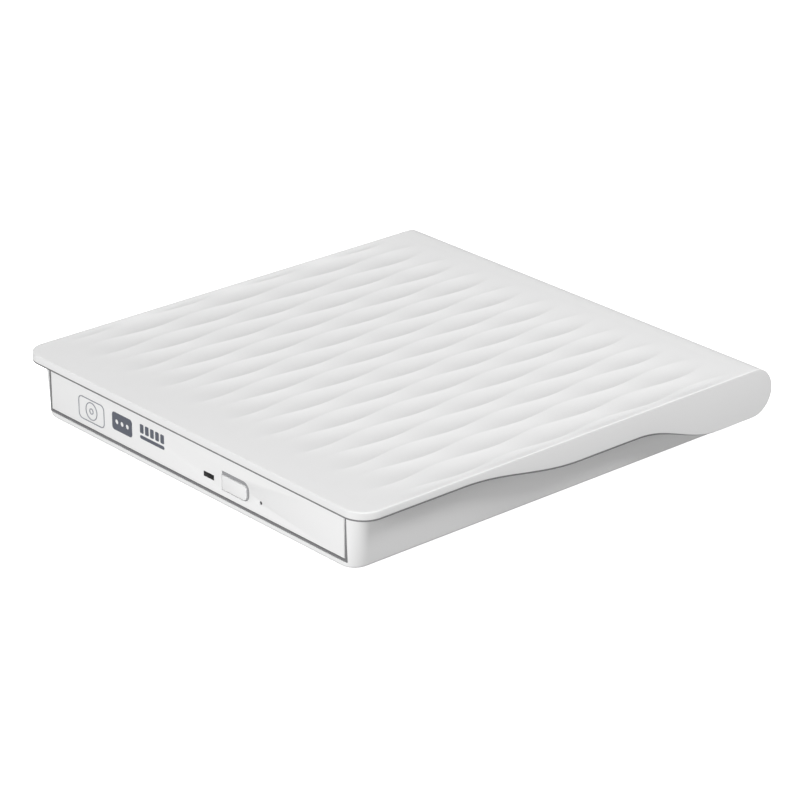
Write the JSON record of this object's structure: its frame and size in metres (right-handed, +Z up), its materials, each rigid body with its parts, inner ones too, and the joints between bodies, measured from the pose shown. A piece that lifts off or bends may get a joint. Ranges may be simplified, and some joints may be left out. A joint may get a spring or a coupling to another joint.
{
  "type": "external optical drive",
  "caption": "Slim tray-loading disc drive in a flat shell with a wave-relief lid, rolled rear edge, sliding tray, spindle hub, moving pickup and a rear data socket.",
  "frame": {"origin": "centre of the plan at the bottom of the rubber feet", "axes": "+Z up, front with the tray towards -Y, +X to the right seen from the front's back"},
  "size_m": [0.1474, 0.1522, 0.02],
  "materials": {
    "shell_white": "fine satin moulded plastic",
    "bezel_white": "satin moulded plastic",
    "foot_rubber": "matt",
    "screw_steel": "zinc plated",
    "label_film": "blank printed film",
    "board_green": "solder mask",
    "chip_black": "moulded epoxy",
    "connector_black": "moulded nylon",
    "connector_ivory": "moulded nylon",
    "socket_steel": "stamped and plated",
    "sheet_steel": "stamped zinc-coated sheet",
    "rail_steel": "rolled and greased",
    "guide_grey": "slippery acetal",
    "tray_black": "fine texture",
    "window_dark": "smoked light guide",
    "mark_light": "thin print",
    "mark_slate": "thin print",
    "deck_metal": "dark coated sheet",
    "frame_metal": "stamped sheet",
    "damper_rubber": "soft butyl",
    "winding": "enamelled wire and laminations",
    "rod_steel": "ground and polished",
    "rotor_steel": "turned",
    "hub_black": "moulded",
    "ring_rubber": "soft",
    "sled_metal": "die cast",
    "flex_amber": "polyimide",
    "flex_white": "laminated film",
    "magnet": "nickel plated",
    "holder_black": "moulded",
    "lens_glass": "coated",
    "lamp_green": "clear resin",
    "screw_brass": "rolled thread"
  },
  "bodies": {
    "case": {"top_cover": "shell_white", "bottom_case": "shell_white", "rubber_feet": "foot_rubber", "case_screws": "screw_steel", "drive_screws": "screw_steel", "label_plate": "label_film", "bridge_board": "board_green", "bridge_chips": "chip_black", "board_socket": "connector_black", "board_screws": "screw_steel", "usb_shell": "socket_steel", "usb_tongue": "connector_black", "drive_pan": "sheet_steel", "drive_cover": "sheet_steel", "rail_guide_left": "guide_grey", "rail_guide_right": "guide_grey", "drive_board": "board_green", "drive_chips": "chip_black", "drive_plug": "connector_black", "flex_socket": "connector_ivory", "latch_post": "rod_steel"},
    "left_rail": {"rail_left": "rail_steel"},
    "right_rail": {"rail_right": "rail_steel"},
    "tray": {"tray_frame": "tray_black", "tray_bottom": "sheet_steel", "bezel": "bezel_white", "light_window": "window_dark", "mark_disc": "mark_light", "mark_square": "mark_slate", "mark_bars": "mark_slate", "deck_plate": "deck_metal", "deck_screws": "screw_steel", "traverse_frame": "frame_metal", "dampers": "damper_rubber", "damper_screws": "screw_steel", "spindle_stator": "winding", "guide_rods": "rod_steel", "rod_clamps": "holder_black", "feed_motor": "socket_steel", "tray_board": "board_green", "eject_switch": "connector_black", "lamp": "lamp_green", "solenoid": "winding", "tray_socket": "connector_ivory", "flex_cable": "flex_white", "hook_pin": "rod_steel"},
    "spindle": {"rotor": "rotor_steel", "turntable": "hub_black", "hub_ring": "ring_rubber", "chuck_balls": "rod_steel"},
    "pickup": {"sled": "sled_metal", "feed_nut": "connector_ivory", "sled_board": "flex_amber", "actuator_magnets": "magnet"},
    "lens_carrier": {"lens_holder": "holder_black", "lens": "lens_glass"},
    "screw": {"lead_screw": "screw_brass"},
    "button": {"eject_button": "bezel_white"},
    "hook": {"latch_hook": "frame_metal"}
  },
  "joints": [
    {"name": "tray_slide", "type": "slide", "parent": "case", "child": "tray", "axis": [0, -1, 0], "range_m": [0, 0.128]},
    {"name": "left_rail_slide", "type": "slide", "parent": "case", "child": "left_rail", "axis": [0, -1, 0], "range_m": [0, 0.064]},
    {"name": "right_rail_slide", "type": "slide", "parent": "case", "child": "right_rail", "axis": [0, -1, 0], "range_m": [0, 0.064]},
    {"name": "spindle_spin", "type": "hinge", "parent": "tray", "child": "spindle", "pos_m": [0, -0.00812, 0.01078], "axis": [0, 0, 1], "continuous": true},
    {"name": "pickup_slide", "type": "slide", "parent": "tray", "child": "pickup", "axis": [-0.7071, -0.7071, 0], "range_m": [0, 0.0345]},
    {"name": "screw_spin", "type": "hinge", "parent": "tray", "child": "screw", "pos_m": [-0.01244, 0.00432, 0.00778], "axis": [-0.7071, -0.7071, 0], "range_deg": [0, 4150]},
    {"name": "lens_focus", "type": "slide", "parent": "pickup", "child": "lens_carrier", "axis": [0, 0, 1], "range_m": [-0.0003, 0.0004], "stiffness_N_per_m": 60},
    {"name": "button_press", "type": "slide", "parent": "tray", "child": "button", "axis": [0, 1, 0], "range_m": [0, 0.0008], "stiffness_N_per_m": 400},
    {"name": "hook_turn", "type": "hinge", "parent": "tray", "child": "hook", "pos_m": [0.034, -0.04472, 0.0055], "axis": [0, 0, 1], "range_deg": [-30, 0], "stiffness_Nm_per_rad": 0.002}
  ],
  "couplings": [
    {"joint": "left_rail_slide", "follows": "tray_slide", "ratio": 0.5},
    {"joint": "right_rail_slide", "follows": "tray_slide", "ratio": 0.5},
    {"joint": "screw_spin", "follows": "pickup_slide", "rad_per_m": 2094.4}
  ]
}
